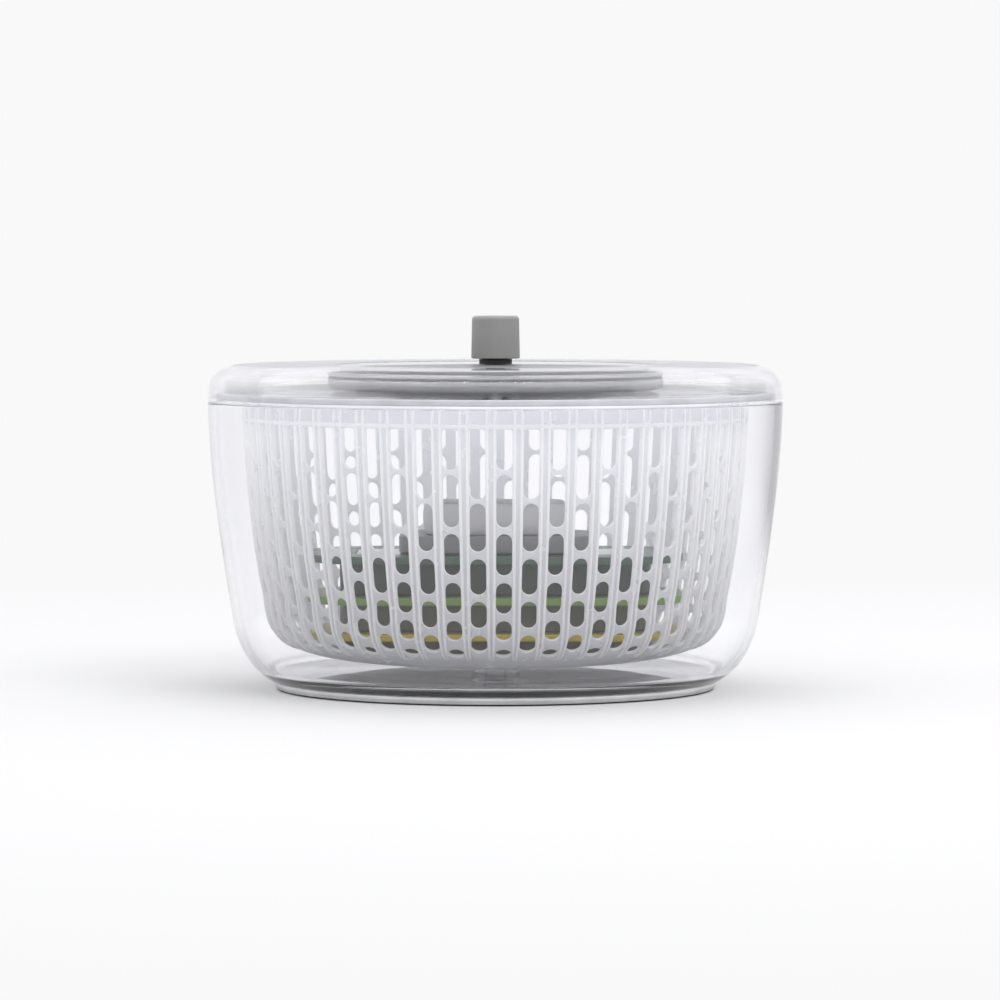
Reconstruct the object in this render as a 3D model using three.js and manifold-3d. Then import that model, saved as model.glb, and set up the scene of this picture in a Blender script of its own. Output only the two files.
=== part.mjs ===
// Salad spinner with a crank lid, a slotted basket and three cutting attachments stored in the basket.
// Millimetres, +Z up. The origin is on the table, under the middle of the bowl.
import * as THREE from 'three';
import { mergeVertices } from 'three/addons/utils/BufferGeometryUtils.js';
import Module from 'manifold-3d';

const wasm = await Module();
wasm.setup();

// ---- Driving dimensions ----
const OUTER_R = 120;
const HEIGHT = 155;
const GAP = 0.3; // clearance kept between touching pieces
const ROUND = 48; // facets around a large turned piece
const SMALL_ROUND = 24;

const FOOT_H = 3.2;
const FOOT_R = 90.8;
const FOOT_TOP_R = 93.2;
const FOOT_RING_R = 78;
const BOWL_WALL = 3;
const BOWL_FLOOR = 3.8;
const BOWL_RIM_Z = 120.1;

const PIN_R = 4;
const PIN_COLLAR_R = 9;
const PIN_COLLAR_T = 1.6;
const PIN_TOP_Z = 13.6;
const BUSH_R = 7;
const BUSH_COLLAR_R = 10;
const BUSH_COLLAR_Z = 9.7;
const BUSH_TOP_Z = 14.7;
const BUSH_CAP_T = 0.8;
const RUNNING_GAP = 0.4; // radial clearance of a piece that turns on a pin

const BASKET_FLOOR_Z = 12.5;
const BASKET_FLOOR_R = 62;
const BASKET_WALL = 2.1;
const BASKET_RIM_R = 105.8;
const BASKET_RIM_Z = 119.4;
const SLOT_COLUMNS = 24;
const SLOT_W = 9;
const SLOT_ROWS = [[26, 64], [69, 109]];
const LUGS = 12;
const LUG_W = 6;
const LUG_DEPTH = 3;
const LUG_T = 2.2;

const LID_TOP_Z = 135.5;
const LID_WALL = 2.8;
const LID_FLAT_R = 104;
const DISC_R = 64.4;
const DISC_TOP_Z = 134.1;
const DISC_CHAMFER = 0.5;
const PLATE_R = 113;
const PLATE_Z = 122.4;
const PLATE_T = 2.4;
const FLANGE_T = 2.1;
const FLANGE_TOP_Z = 129.4;
const SEAL_R = 116.2;
const SEAL_Z = [121.4, 124];
const SHAFT_R = 4.8;
const SHAFT_BORE_R = 1.8;
const SHAFT_BORE_DEPTH = 7;
const DRIVE_PLATE_T = 1.8;
const DRIVE_SCREW_HEAD_R = 5.5;
const DRIVE_SCREW_R = 1.5;

const SCREW_CIRCLE_R = 36;
const SCREW_START = Math.PI / 6; // angle of the first lid screw
const SCREW_R = 1.3;
const SCREW_HOLE_R = 1.6;
const SCREW_HEAD_R = 2.8;
const SCREW_HEAD_HOLE_R = 3.2;
const SCREW_TOP_Z = 128.4;
const BOSS_R = 4.2;

const MODULE = 2;
const PRESSURE_ANGLE = THREE.MathUtils.degToRad(20);
const PINION_TEETH = 18;
const RING_TEETH = 54;
const IDLER_CIRCLE_R = MODULE * PINION_TEETH;
const ADDENDUM = 1.8;
const DEDENDUM = 2.4;
const PINION_SHARE = 0.41; // share of the pitch that a tooth fills
const RING_SHARE = 0.56; // share of the pitch that a gap of the ring fills
const GEAR_Z = 127.4;
const GEAR_H = 3.6;
const RING_OUTER_R = 67;
const IDLER_BORE_R = 3.4;
const HOUSING_R = 70;
const HOUSING_FLOOR_R = 64.5;
const HOUSING_TAPER_Z = 127.3; // the outside tapers inwards below this height
const HOUSING_WALL = 1.6;
const HOUSING_FLOOR = 1.2;

const KNOB_Y = 53; // the knob stands this far from the axis
const KNOB_R = 10.4;
const KNOB_BASE_Z = 136.8;
const KNOB_BORE_R = 4.4;
const KNOB_BORE_TOP_Z = 151;
const POST_R = 4;
const POST_NECK_R = 7;
const POST_TOP_Z = 150.6;

// Cutting attachments: [half length, half width, corner radius] of each outline
const RIM_OUTLINE = [78, 42, 30];
const BODY_OUTLINE = [64.5, 36, 28];
const BODY_INSIDE = [61.5, 33, 25];
const INSERT_WINDOW = [58, 27, 8];
const LEDGE_WINDOW = [55, 24, 6];
const INSERT_OUTLINE = [57.7, 26.7, 7.7];
const INSERT_T = 1;
const RIM_T = 3.2;
const LEDGE_DEPTH = 1.4; // from the top of the rim down to the ledge under the insert
const SLICER_SLOT = [3.2, 22]; // half length and half width
const JULIENNE_SLOT = [2.4, 20];
const JULIENNE_SLOT_X = [-32, -16, 0, 16, 32];
const GRATER_HOLE_R = 4;
const GRATER_HOLE_X = [-40, -20, 0, 20, 40];
const GRATER_HOLE_Y = [-14, 0, 14];
const JULIENNE_Z = [15.8, 25.4];
const GRATER_Z = [25.7, 40.5];
const SLICER_Z = [40.8, 57.4];
const PUSHER_Z = [57.7, 65.1];
const GRIP_Z = [65.4, 78.5];
const PUSHER_OUTLINE = [40, 28, 12];
const PUSHER_TOP_OUTLINE = [38.6, 26.6, 11];
const GRIP_OUTLINE = [30.3, 20, 10];
const GRIP_TOP_OUTLINE = [28.8, 18.5, 9];

// ---- Materials ----
const clear = (name) => new THREE.MeshStandardMaterial({
  name, color: 0xeceef4, roughness: 0.08, metalness: 0, transparent: true, opacity: 0.4,
});
const plain = (name, color, roughness = 0.5, metalness = 0) => new THREE.MeshStandardMaterial({
  name, color, roughness, metalness,
});
const GREY = 0x8b8b89;
const STEEL = 0xc4c6c8;
const GEAR_WHITE = 0xd0d0cc;

const part = new THREE.Group();

function add(name, geometry, material) {
  const mesh = new THREE.Mesh(geometry, material);
  mesh.name = name;
  part.add(mesh);
  return mesh;
}

// ---- Geometry helpers ----
const at = (r, z) => new THREE.Vector2(r, z);

// A piece turned about the Z axis from an outline of (radius, height) points, anticlockwise.
function turned(outline, facets = ROUND) {
  const geometry = new THREE.LatheGeometry(outline, facets);
  return geometry.rotateX(Math.PI / 2);
}

function disc(r, z0, z1, facets = ROUND) {
  return turned([at(0, z0), at(r, z0), at(r, z1), at(0, z1)], facets);
}

function ring(rIn, rOut, z0, z1, facets = ROUND) {
  return turned([at(rIn, z0), at(rOut, z0), at(rOut, z1), at(rIn, z1), at(rIn, z0)], facets);
}

function extruded(shape, z0, z1, curveSegments = 3) {
  const geometry = new THREE.ExtrudeGeometry(shape, { depth: z1 - z0, bevelEnabled: false, curveSegments });
  return geometry.translate(0, 0, z0);
}

function roundedRectangle(halfX, halfY, radius, outline = new THREE.Shape()) {
  const x = halfX - radius;
  const y = halfY - radius;
  outline.absarc(x, y, radius, 0, Math.PI / 2);
  outline.absarc(-x, y, radius, Math.PI / 2, Math.PI);
  outline.absarc(-x, -y, radius, Math.PI, 1.5 * Math.PI);
  outline.absarc(x, -y, radius, 1.5 * Math.PI, 2 * Math.PI);
  return outline;
}

function plateWithWindow(outer, window) {
  const shape = roundedRectangle(...outer);
  shape.holes.push(roundedRectangle(...window, new THREE.Path()));
  return shape;
}

function solid(geometry) {
  const bare = geometry.clone();
  bare.deleteAttribute('normal');
  bare.deleteAttribute('uv');
  const merged = mergeVertices(bare, 1e-4);
  const corners = merged.index.array;
  const triVerts = [];
  for (let i = 0; i < corners.length; i += 3) {
    const [a, b, c] = corners.slice(i, i + 3);
    if (a !== b && b !== c && c !== a) {
      triVerts.push(a, b, c);
    }
  }
  return new wasm.Manifold(new wasm.Mesh({
    numProp: 3,
    vertProperties: new Float32Array(merged.attributes.position.array),
    triVerts: new Uint32Array(triVerts),
  }));
}

function geometryOf(manifold) {
  const mesh = manifold.getMesh();
  const geometry = new THREE.BufferGeometry();
  geometry.setAttribute('position', new THREE.BufferAttribute(mesh.vertProperties, 3));
  geometry.setIndex(new THREE.BufferAttribute(mesh.triVerts, 1));
  geometry.computeVertexNormals();
  return geometry;
}

function join(geometries) {
  return geometryOf(geometries.map(solid).reduce((whole, piece) => whole.add(piece)));
}

function cut(geometry, tools) {
  return geometryOf(tools.map(solid).reduce((whole, tool) => whole.subtract(tool), solid(geometry)));
}

// A copy of the shape that make() gives at every one of count equal angles, first at angle start.
function around(count, make, start = 0) {
  return Array.from({ length: count }, (_, i) => make().rotateZ(start + (2 * Math.PI * i) / count));
}

function pin(r, z0, z1, x = 0, y = 0, facets = SMALL_ROUND) {
  return disc(r, z0, z1, facets).translate(x, y, 0);
}

// ---- Wall outlines ----
const bowlOutside = new THREE.CubicBezierCurve(
  at(FOOT_TOP_R, FOOT_H + GAP), at(111.9, 11.2), at(115.3, 53), at(OUTER_R, BOWL_RIM_Z),
);
const basketCorner = new THREE.CubicBezierCurve(
  at(BASKET_FLOOR_R, BASKET_FLOOR_Z), at(93.3, 15.8), at(94.9, 25), at(97.1, 40.5),
);
const basketSide = new THREE.CubicBezierCurve(
  at(97.1, 40.5), at(99.2, 47.8), at(103.4, 73.6), at(BASKET_RIM_R, 114.3),
);
const lidShoulder = new THREE.CubicBezierCurve(
  at(OUTER_R, BOWL_RIM_Z + GAP), at(OUTER_R, 131), at(117.5, LID_TOP_Z), at(LID_FLAT_R, LID_TOP_Z),
);

// Points along a curve, moved to its inner side by a wall thickness.
function along(curve, steps, inset = 0) {
  return Array.from({ length: steps + 1 }, (_, i) => {
    const point = curve.getPoint(i / steps);
    const tangent = curve.getTangent(i / steps);
    return at(point.x - tangent.y * inset, point.y + tangent.x * inset);
  });
}

// ---- Bowl ----
function bowlShell() {
  const floorZ = FOOT_H + GAP + BOWL_FLOOR;
  const inside = along(bowlOutside, 8, BOWL_WALL).filter((p) => p.y > floorZ + 1 && p.y < BOWL_RIM_Z);
  return turned([
    at(0, FOOT_H + GAP),
    ...along(bowlOutside, 9),
    at(OUTER_R - BOWL_WALL, BOWL_RIM_Z),
    ...inside.reverse(),
    at(FOOT_TOP_R, floorZ),
    at(0, floorZ),
  ]);
}

function nonSlipBase() {
  const underside = 1.2;
  const top = 2.4;
  return turned([
    at(0, underside), at(FOOT_RING_R, underside), at(FOOT_RING_R, 0), at(FOOT_R, 0),
    at(FOOT_TOP_R, FOOT_H), at(66, FOOT_H), at(64, top), at(0, top),
  ]);
}

function pivotPin() {
  const base = FOOT_H + GAP + BOWL_FLOOR + GAP;
  const collarTop = base + PIN_COLLAR_T;
  return turned([
    at(0, base), at(PIN_COLLAR_R, base), at(PIN_COLLAR_R, collarTop),
    at(PIN_R, collarTop), at(PIN_R, PIN_TOP_Z), at(0, PIN_TOP_Z),
  ], SMALL_ROUND);
}

// ---- Basket ----
function basketBush() {
  const bore = PIN_R + RUNNING_GAP;
  const boreTop = BUSH_TOP_Z - BUSH_CAP_T;
  const collarTop = BASKET_FLOOR_Z - GAP;
  return turned([
    at(0, boreTop), at(bore, boreTop), at(bore, BUSH_COLLAR_Z), at(BUSH_COLLAR_R, BUSH_COLLAR_Z),
    at(BUSH_COLLAR_R, collarTop), at(BUSH_R, collarTop), at(BUSH_R, BUSH_TOP_Z), at(0, BUSH_TOP_Z),
  ], SMALL_ROUND);
}

function basket() {
  const hole = BUSH_R + RUNNING_GAP;
  const inner = [...along(basketCorner, 3, BASKET_WALL), ...along(basketSide, 2, BASKET_WALL).slice(1)];
  const shell = turned([
    at(hole, BASKET_FLOOR_Z),
    ...along(basketCorner, 3),
    ...along(basketSide, 2).slice(1),
    at(BASKET_RIM_R, BASKET_RIM_Z),
    at(BASKET_RIM_R - BASKET_WALL, BASKET_RIM_Z),
    ...inner.reverse(),
    at(hole, BASKET_FLOOR_Z + BASKET_WALL),
    at(hole, BASKET_FLOOR_Z),
  ]);
  const slots = SLOT_ROWS.flatMap(([z0, z1], row) => around(
    SLOT_COLUMNS,
    () => new THREE.BoxGeometry(26, SLOT_W, z1 - z0).translate(98, 0, (z0 + z1) / 2),
    (0.5 + (row % 2)) * (Math.PI / SLOT_COLUMNS),
  ));
  const notches = around(LUGS, () => new THREE.BoxGeometry(8, LUG_W + 2, 8)
    .translate(BASKET_RIM_R - 2, 0, BASKET_RIM_Z - LUG_DEPTH + 4));
  return cut(shell, [...slots, ...notches]);
}

// ---- Cutting attachments and pusher ----
function attachmentFrame([bottom, top]) {
  return join([
    extruded(plateWithWindow(RIM_OUTLINE, LEDGE_WINDOW), top - RIM_T, top - LEDGE_DEPTH),
    extruded(plateWithWindow(RIM_OUTLINE, INSERT_WINDOW), top - 2, top),
    extruded(plateWithWindow(BODY_OUTLINE, BODY_INSIDE), bottom, top - 2.5),
  ]);
}

function insertPlate([, top]) {
  return extruded(roundedRectangle(...INSERT_OUTLINE), top - INSERT_T - 0.1, top - 0.1);
}

function slotTool(x, [halfX, halfY], top) {
  return new THREE.BoxGeometry(2 * halfX, 2 * halfY, 4).translate(x, 0, top - 1);
}

function slicerBlade() {
  return cut(insertPlate(SLICER_Z), [slotTool(0, SLICER_SLOT, SLICER_Z[1])]);
}

function graterPlate() {
  const top = GRATER_Z[1];
  const holes = GRATER_HOLE_X.flatMap((x) => GRATER_HOLE_Y.map(
    (y) => pin(GRATER_HOLE_R, top - 3, top + 1, x, y, 8),
  ));
  return cut(insertPlate(GRATER_Z), holes);
}

function julienneBlade() {
  const slots = JULIENNE_SLOT_X.map((x) => slotTool(x, JULIENNE_SLOT, JULIENNE_Z[1]));
  return cut(insertPlate(JULIENNE_Z), slots);
}

function pusherBase() {
  return join([
    extruded(roundedRectangle(...PUSHER_OUTLINE), PUSHER_Z[0], PUSHER_Z[1] - 2),
    extruded(roundedRectangle(...PUSHER_TOP_OUTLINE), PUSHER_Z[0] + 1, PUSHER_Z[1]),
  ]);
}

function pusherGrip() {
  return join([
    extruded(roundedRectangle(...GRIP_OUTLINE), GRIP_Z[0], GRIP_Z[1] - 1.6),
    extruded(roundedRectangle(...GRIP_TOP_OUTLINE), GRIP_Z[0] + 1, GRIP_Z[1]),
  ]);
}

// ---- Lid ----
function lidCover() {
  const underside = LID_TOP_Z - LID_WALL;
  return turned([
    at(OUTER_R - LID_WALL, BOWL_RIM_Z + GAP),
    ...along(lidShoulder, 6),
    at(DISC_R + 0.6, LID_TOP_Z),
    at(DISC_R + 0.6, underside),
    at(LID_FLAT_R, underside),
    ...along(lidShoulder, 5, LID_WALL).slice(0, -1).reverse(),
  ]);
}

// The same pin-shaped tool at each of the three lid screws.
function atScrews(r, z0, z1) {
  return around(3, () => pin(r, z0, z1, SCREW_CIRCLE_R, 0, 10), SCREW_START);
}

// A shallow dish: a flat plate with a flange that stands up round its edge.
function lidBottomPlate() {
  const hole = SHAFT_R + 1.2;
  const top = PLATE_Z + PLATE_T;
  const plate = turned([
    at(hole, PLATE_Z), at(PLATE_R, PLATE_Z), at(PLATE_R, FLANGE_TOP_Z),
    at(PLATE_R - FLANGE_T, FLANGE_TOP_Z),
    at(PLATE_R - FLANGE_T, top), at(hole, top), at(hole, PLATE_Z),
  ]);
  return cut(plate, [
    ...atScrews(SCREW_HEAD_HOLE_R, PLATE_Z - 1, PLATE_Z + 1.4),
    ...atScrews(SCREW_HOLE_R, PLATE_Z - 1, PLATE_Z + 4),
  ]);
}

function lidScrew() {
  const base = PLATE_Z + 0.1;
  const headTop = PLATE_Z + 1.1;
  return turned([
    at(0, base), at(SCREW_HEAD_R, base), at(SCREW_HEAD_R, headTop),
    at(SCREW_R, headTop), at(SCREW_R, SCREW_TOP_Z), at(0, SCREW_TOP_Z),
  ], 12).translate(SCREW_CIRCLE_R, 0, 0);
}

function lidSeal() {
  return ring(PLATE_R + 0.4, SEAL_R, ...SEAL_Z);
}

function gearHousing() {
  const hole = SHAFT_R + 0.6;
  const floorZ = PLATE_Z + PLATE_T + GAP;
  const floorTop = floorZ + HOUSING_FLOOR;
  const top = LID_TOP_Z - LID_WALL - GAP;
  const inside = HOUSING_R - HOUSING_WALL;
  const dish = turned([
    at(hole, floorZ), at(HOUSING_FLOOR_R, floorZ), at(HOUSING_R, HOUSING_TAPER_Z), at(HOUSING_R, top),
    at(inside, top), at(inside, HOUSING_TAPER_Z + 0.2), at(HOUSING_FLOOR_R - 1, floorTop),
    at(hole, floorTop), at(hole, floorZ),
  ]);
  const whole = join([dish, ...atScrews(BOSS_R, floorZ + 1, GEAR_Z + 2)]);
  return cut(whole, atScrews(SCREW_HOLE_R, floorZ - 1, SCREW_TOP_Z + 0.4));
}

// ---- Gear train ----
const involute = (angle) => Math.tan(angle) - angle;

// Half the angle that a tooth spans at radius r, for a tooth that fills a share of the pitch.
function toothHalfAngle(r, teeth, share) {
  const pitchR = (MODULE * teeth) / 2;
  const baseR = pitchR * Math.cos(PRESSURE_ANGLE);
  const angleThere = Math.acos(Math.min(1, baseR / r));
  return (Math.PI * share) / teeth + involute(PRESSURE_ANGLE) - involute(angleThere);
}

// A toothed outline, with one tooth centred at angle start.
function toothedOutline(teeth, rootR, tipR, share, start, outline) {
  const rootHalf = toothHalfAngle(rootR, teeth, share);
  const tipHalf = toothHalfAngle(tipR, teeth, share);
  const corners = [[rootR, -rootHalf], [tipR, -tipHalf], [tipR, tipHalf], [rootR, rootHalf]];
  const points = Array.from({ length: teeth }, (_, i) => corners.map(([r, offset]) => {
    const angle = start + (2 * Math.PI * i) / teeth + offset;
    return at(r * Math.cos(angle), r * Math.sin(angle));
  })).flat();
  return outline.setFromPoints(points);
}

function pinion(start, boreR) {
  const pitchR = (MODULE * PINION_TEETH) / 2;
  const shape = toothedOutline(
    PINION_TEETH, pitchR - DEDENDUM, pitchR + ADDENDUM, PINION_SHARE, start, new THREE.Shape(),
  );
  shape.holes.push(new THREE.Path().absarc(0, 0, boreR, 0, 2 * Math.PI));
  return extruded(shape, GEAR_Z, GEAR_Z + GEAR_H, 6);
}

function ringGear() {
  const pitchR = (MODULE * RING_TEETH) / 2;
  const shape = new THREE.Shape().absarc(0, 0, RING_OUTER_R, 0, 2 * Math.PI);
  shape.holes.push(toothedOutline(
    RING_TEETH, pitchR - ADDENDUM, pitchR + DEDENDUM, RING_SHARE, Math.PI / 2, new THREE.Path(),
  ));
  return extruded(shape, GEAR_Z, GEAR_Z + GEAR_H + 0.2, 24);
}

function idlerPin() {
  const base = PLATE_Z + PLATE_T + GAP + HOUSING_FLOOR + GAP;
  const shoulder = GEAR_Z - 0.2;
  const top = GEAR_Z + GEAR_H;
  const r = IDLER_BORE_R - RUNNING_GAP;
  return turned([
    at(0, base), at(r + 2, base), at(r + 2, shoulder), at(r, shoulder), at(r, top), at(0, top),
  ], SMALL_ROUND);
}

// ---- Drive ----
function driveShaft() {
  const base = BASKET_RIM_Z - 0.2;
  const boreTop = base + SHAFT_BORE_DEPTH;
  const top = GEAR_Z + GEAR_H;
  return turned([
    at(0, boreTop), at(SHAFT_BORE_R, boreTop), at(SHAFT_BORE_R, base), at(SHAFT_R, base),
    at(SHAFT_R, top), at(0, top),
  ], SMALL_ROUND);
}

function drivePlate() {
  const base = BASKET_RIM_Z + 0.4;
  const lugs = around(LUGS, () => new THREE.BoxGeometry(LUG_T, LUG_W, LUG_DEPTH + 0.6)
    .translate(BASKET_RIM_R - 1.3, 0, base - LUG_DEPTH / 2 + 0.3));
  return join([ring(SHAFT_R + GAP, BASKET_RIM_R, base, base + DRIVE_PLATE_T), ...lugs]);
}

function driveScrew() {
  const head = BASKET_RIM_Z - 2;
  const headTop = head + 1.5;
  const top = head + 7.5;
  return turned([
    at(0, head), at(DRIVE_SCREW_HEAD_R, head), at(DRIVE_SCREW_HEAD_R, headTop),
    at(DRIVE_SCREW_R, headTop), at(DRIVE_SCREW_R, top), at(0, top),
  ], SMALL_ROUND);
}

// ---- Crank and knob ----
function crankDisc() {
  const base = GEAR_Z + GEAR_H + 0.5;
  return turned([
    at(0, base), at(DISC_R, base), at(DISC_R, DISC_TOP_Z - DISC_CHAMFER),
    at(DISC_R - DISC_CHAMFER, DISC_TOP_Z), at(0, DISC_TOP_Z),
  ]);
}

function knobPost() {
  const base = DISC_TOP_Z + GAP;
  const neckTop = KNOB_BASE_Z - GAP;
  return turned([
    at(0, base), at(POST_NECK_R, base), at(POST_NECK_R, neckTop),
    at(POST_R, neckTop), at(POST_R, POST_TOP_Z), at(0, POST_TOP_Z),
  ], SMALL_ROUND);
}

function knob() {
  return turned([
    at(0, KNOB_BORE_TOP_Z), at(KNOB_BORE_R, KNOB_BORE_TOP_Z), at(KNOB_BORE_R, KNOB_BASE_Z),
    at(KNOB_R - 0.8, KNOB_BASE_Z), at(KNOB_R, KNOB_BASE_Z + 0.8), at(KNOB_R - 0.2, HEIGHT - 1.6),
    at(KNOB_R - 1.8, HEIGHT), at(0, HEIGHT),
  ], SMALL_ROUND);
}

// ---- Assembly ----
add('bowl_shell', bowlShell(), clear('clear_bowl'));
add('non_slip_base', nonSlipBase(), plain('grey_rubber', 0x6a6b6b, 0.8));
add('pivot_pin', pivotPin(), plain('pivot_grey', GREY));
add('basket_bush', basketBush(), plain('bush_grey', 0xb0b0b2));
add('basket', basket(), clear('frosted_basket'));

add('julienne_frame', attachmentFrame(JULIENNE_Z), plain('mustard_plastic', 0xa89c42));
add('julienne_blade', julienneBlade(), plain('julienne_steel', STEEL, 0.3, 1));
add('grater_frame', attachmentFrame(GRATER_Z), plain('olive_plastic', 0x7d8c46));
add('grater_plate', graterPlate(), plain('grater_steel', STEEL, 0.3, 1));
add('slicer_frame', attachmentFrame(SLICER_Z), plain('green_plastic', 0x40584a));
add('slicer_blade', slicerBlade(), plain('slicer_steel', STEEL, 0.3, 1));
add('pusher_base', pusherBase(), plain('pusher_base_grey', GREY));
add('pusher_grip', pusherGrip(), plain('pusher_grip_grey', 0xa0a0a0));

add('lid_cover', lidCover(), clear('clear_lid'));
add('lid_bottom_plate', lidBottomPlate(), clear('clear_plate'));
add('lid_seal', lidSeal(), plain('seal_silicone', 0xd8d8da, 0.6));
add('gear_housing', gearHousing(), plain('housing_grey', 0x9c9c9c));

add('crank_disc', crankDisc(), plain('crank_grey', GREY));
add('ring_gear', ringGear(), plain('gear_white', GEAR_WHITE));
const post = add('knob_post', knobPost(), plain('post_grey', 0x555555));
const handle = add('knob', knob(), plain('knob_grey', GREY));
post.position.y = KNOB_Y;
handle.position.y = KNOB_Y;

add('drive_shaft', driveShaft(), plain('shaft_grey', GREY));
add('sun_pinion', pinion(0, SHAFT_R + GAP), plain('sun_white', GEAR_WHITE));
add('drive_plate', drivePlate(), clear('clear_drive_plate'));
add('drive_screw', driveScrew(), plain('drive_screw_steel', STEEL, 0.3, 1));

for (let i = 0; i < 3; i += 1) {
  const angle = Math.PI / 2 + (2 * Math.PI * i) / 3;
  const x = IDLER_CIRCLE_R * Math.cos(angle);
  const y = IDLER_CIRCLE_R * Math.sin(angle);
  const pivot = add(`idler_pin_${i + 1}`, idlerPin(), plain(`idler_pin_steel_${i + 1}`, STEEL, 0.3, 1));
  const teeth = pinion(Math.PI / PINION_TEETH, IDLER_BORE_R);
  const gear = add(`idler_gear_${i + 1}`, teeth, plain(`idler_white_${i + 1}`, GEAR_WHITE));
  const screw = add(`lid_screw_${i + 1}`, lidScrew(), plain(`lid_screw_steel_${i + 1}`, STEEL, 0.3, 1));
  pivot.position.set(x, y, 0);
  gear.position.set(x, y, 0);
  screw.rotation.z = SCREW_START + (2 * Math.PI * i) / 3;
}

export default part;
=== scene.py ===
import math

import bpy
import numpy as np
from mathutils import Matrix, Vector
from mathutils.geometry import delaunay_2d_cdt


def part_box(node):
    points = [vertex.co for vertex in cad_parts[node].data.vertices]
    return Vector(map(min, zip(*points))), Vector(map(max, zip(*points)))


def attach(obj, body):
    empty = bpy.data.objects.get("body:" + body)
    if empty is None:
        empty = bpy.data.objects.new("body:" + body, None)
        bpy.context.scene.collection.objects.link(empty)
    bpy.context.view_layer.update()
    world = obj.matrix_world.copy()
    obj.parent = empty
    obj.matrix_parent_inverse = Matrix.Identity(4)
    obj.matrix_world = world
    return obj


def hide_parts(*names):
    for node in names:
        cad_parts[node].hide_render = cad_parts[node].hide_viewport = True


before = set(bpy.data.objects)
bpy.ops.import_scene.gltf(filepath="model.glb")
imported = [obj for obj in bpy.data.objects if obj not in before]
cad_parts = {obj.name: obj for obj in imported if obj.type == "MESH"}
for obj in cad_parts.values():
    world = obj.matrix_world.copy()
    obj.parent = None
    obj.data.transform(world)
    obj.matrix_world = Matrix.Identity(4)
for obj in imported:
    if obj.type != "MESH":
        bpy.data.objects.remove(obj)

# A clear salad spinner: bowl, slotted basket, crank lid, and cutting attachments stored in the basket.
# Outlines are in millimetres, and make_piece() turns them into metres.
MM = 0.001
scene = bpy.context.scene
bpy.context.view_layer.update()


# ---- Camera: a long lens, a little above the lid, looking slightly down ----
CAMERA_PLACE = (0.0019, -2.297, 0.1895)
CAMERA_TILT = 2.76  # degrees down
LENS = 198
SENSOR = 36


def make_camera():
    """The photograph's camera."""
    camera = bpy.data.objects.new("camera", bpy.data.cameras.new("camera"))
    camera.data.lens = LENS
    camera.data.sensor_width = SENSOR
    camera.data.clip_end = 50
    camera.location = CAMERA_PLACE
    camera.rotation_euler = (math.radians(90 - CAMERA_TILT), 0, 0)
    scene.collection.objects.link(camera)
    scene.camera = camera


make_camera()


# ---- Measures from the frame, in millimetres ----
def size_of(node):
    """(radius in X, lowest Z, highest Z) of a CAD node that stands on the spin axis."""
    low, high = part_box(node)
    return high.x / MM, low.z / MM, high.z / MM


# ---- Outlines ----
def bezier(points, steps):
    """Points along a cubic curve, both ends included."""
    t = np.linspace(0, 1, steps + 1)[:, None]
    a, b, c, d = (np.array(p, float) for p in points)
    return (1 - t) ** 3 * a + 3 * (1 - t) ** 2 * t * b + 3 * (1 - t) * t * t * c + t ** 3 * d


def inset(points, distance):
    """An outline moved to its left, which is inwards where it runs upwards on the outside."""
    points = np.array(points, float)
    tangent = np.gradient(points, axis=0)
    tangent /= np.linalg.norm(tangent, axis=1)[:, None]
    return points + distance * np.stack([-tangent[:, 1], tangent[:, 0]], axis=1)


def arc_corner(before, corner, after, radius, steps):
    """The points of a round that replaces a corner."""
    to_before = (before - corner) / np.linalg.norm(before - corner)
    to_after = (after - corner) / np.linalg.norm(after - corner)
    half = math.acos(max(-1, min(1, float(to_before @ to_after)))) / 2
    if half < 1e-3 or half > math.pi / 2 - 1e-3:
        return [corner]
    shorter_side = min(np.linalg.norm(before - corner), np.linalg.norm(after - corner))
    reach = min(radius / math.tan(half), shorter_side * 0.49)
    middle = (to_before + to_after) / np.linalg.norm(to_before + to_after)
    centre = corner + middle * reach / math.cos(half)
    start, end = corner + to_before * reach - centre, corner + to_after * reach - centre
    sweep = math.atan2(start[0] * end[1] - start[1] * end[0], float(start @ end))
    across = np.array([-start[1], start[0]])
    return [centre + start * math.cos(a) + across * math.sin(a) for a in np.linspace(0, sweep, steps + 1)]


def rounded(points, closed=True, steps=4):
    """An outline of (x, z) or (x, z, corner radius) points with its corners rounded."""
    places = [np.array(p[:2], float) for p in points]
    radii = [p[2] if len(p) > 2 else 0 for p in points]
    outline = []
    for i, (place, radius) in enumerate(zip(places, radii)):
        inner = closed or 0 < i < len(places) - 1
        if radius and inner:
            outline += arc_corner(places[i - 1], place, places[(i + 1) % len(places)], radius, steps)
        else:
            outline.append(place)
    return np.array(outline)


ROUND = 192  # points round a turned piece
ROUND_FINE = 256  # points round the large clear ones


def circle(radius, count):
    angles = np.arange(count) * 2 * math.pi / count
    return np.stack([radius * np.cos(angles), radius * np.sin(angles)], axis=1)


def rounded_rectangle(half_x, half_y, corner, steps=10):
    """Returns a function of an outward distance that gives the outline that far outside the rectangle."""
    def outline(distance):
        radius = max(corner + distance, 0.05)
        x, y = half_x + distance - radius, half_y + distance - radius
        points = []
        for quarter, (cx, cy) in enumerate([(x, y), (-x, y), (-x, -y), (x, -y)]):
            for k in range(steps + 1):
                angle = (quarter + k / steps) * math.pi / 2
                points.append((cx + radius * math.cos(angle), cy + radius * math.sin(angle)))
        return np.array(points)
    return outline


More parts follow.
